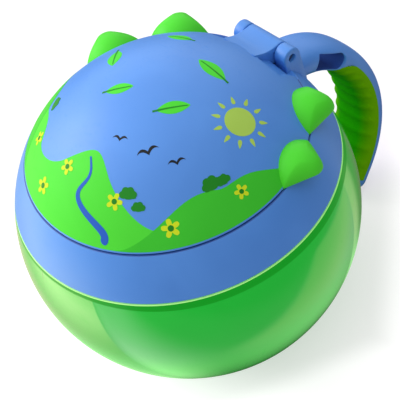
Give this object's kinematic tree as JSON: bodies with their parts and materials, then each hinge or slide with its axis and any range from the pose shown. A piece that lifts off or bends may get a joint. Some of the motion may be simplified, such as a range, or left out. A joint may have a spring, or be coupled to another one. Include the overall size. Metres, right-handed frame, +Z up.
{
  "type": "toddler snack container",
  "caption": "Ball-shaped toddler snack cup: clear bowl, screw-on collar with a C-shaped handle and soft grip, slit spill guard, and a hinged dome lid edged with rounded lobes.",
  "frame": {"origin": "centre of the bowl's flat foot, on the surface it stands on", "axes": "+Z up along the bowl's axis, +Y towards the hinge and the handle, +X to the right seen from the front"},
  "size_m": [0.1, 0.1233, 0.0933],
  "materials": {
    "bowl_green": "clear tinted, polished",
    "body_blue": "fine satin moulding",
    "grip_green": "soft matte elastomer with finger ridges",
    "seal_white": "satin silicone",
    "guard_soft": "translucent satin silicone",
    "inner_white": "satin moulding",
    "lobe_green": "fine satin moulding",
    "pin_steel": "drawn rod"
  },
  "bodies": {
    "bowl_base": {"bowl": "bowl_green"},
    "seal_ring": {"neck_seal": "seal_white"},
    "collar_assembly": {"collar": "body_blue", "handle_grip": "grip_green", "guard_ring": "guard_soft", "guard_retainer": "inner_white", "hinge_pin": "pin_steel"},
    "lid_assembly": {"lid_shell": "body_blue", "lid_liner": "inner_white", "lid_seal": "seal_white", "lobe_front_right": "lobe_green", "lobe_rear_right": "lobe_green", "lobe_front_left": "lobe_green", "lobe_rear_left": "lobe_green"},
    "guard_flap_1_body": {"guard_flap_1": "guard_soft"},
    "guard_flap_2_body": {"guard_flap_2": "guard_soft"},
    "guard_flap_3_body": {"guard_flap_3": "guard_soft"},
    "guard_flap_4_body": {"guard_flap_4": "guard_soft"},
    "guard_flap_5_body": {"guard_flap_5": "guard_soft"},
    "guard_flap_6_body": {"guard_flap_6": "guard_soft"}
  },
  "joints": [
    {"name": "collar_rise", "type": "slide", "parent": "bowl_base", "child": "seal_ring", "axis": [0, 0, 1], "range_m": [0, 0.0661]},
    {"name": "collar_twist", "type": "hinge", "parent": "seal_ring", "child": "collar_assembly", "pos_m": [0, 0, 0.0433], "axis": [0, 0, 1], "range_deg": [0, 1080]},
    {"name": "lid_hinge", "type": "hinge", "parent": "collar_assembly", "child": "lid_assembly", "pos_m": [0, 0.0415, 0.0749], "axis": [-1, 0, 0], "range_deg": [0, 130]},
    {"name": "flap_1_bend", "type": "hinge", "parent": "collar_assembly", "child": "guard_flap_1_body", "pos_m": [0.02708, 0, 0.06728], "axis": [0, -1, 0], "range_deg": [0, 60], "stiffness_Nm_per_rad": 0.02},
    {"name": "flap_2_bend", "type": "hinge", "parent": "collar_assembly", "child": "guard_flap_2_body", "pos_m": [0.01354, 0.02345, 0.06728], "axis": [0.866, -0.5, 0], "range_deg": [0, 60], "stiffness_Nm_per_rad": 0.02},
    {"name": "flap_3_bend", "type": "hinge", "parent": "collar_assembly", "child": "guard_flap_3_body", "pos_m": [-0.01354, 0.02345, 0.06728], "axis": [0.866, 0.5, 0], "range_deg": [0, 60], "stiffness_Nm_per_rad": 0.02},
    {"name": "flap_4_bend", "type": "hinge", "parent": "collar_assembly", "child": "guard_flap_4_body", "pos_m": [-0.02708, 0, 0.06728], "axis": [0, 1, 0], "range_deg": [0, 60], "stiffness_Nm_per_rad": 0.02},
    {"name": "flap_5_bend", "type": "hinge", "parent": "collar_assembly", "child": "guard_flap_5_body", "pos_m": [-0.01354, -0.02345, 0.06728], "axis": [-0.866, 0.5, 0], "range_deg": [0, 60], "stiffness_Nm_per_rad": 0.02},
    {"name": "flap_6_bend", "type": "hinge", "parent": "collar_assembly", "child": "guard_flap_6_body", "pos_m": [0.01354, -0.02345, 0.06728], "axis": [-0.866, -0.5, 0], "range_deg": [0, 60], "stiffness_Nm_per_rad": 0.02}
  ],
  "couplings": [
    {"joint": "collar_rise", "follows": "collar_twist", "m_per_rad": 0.0035014}
  ]
}
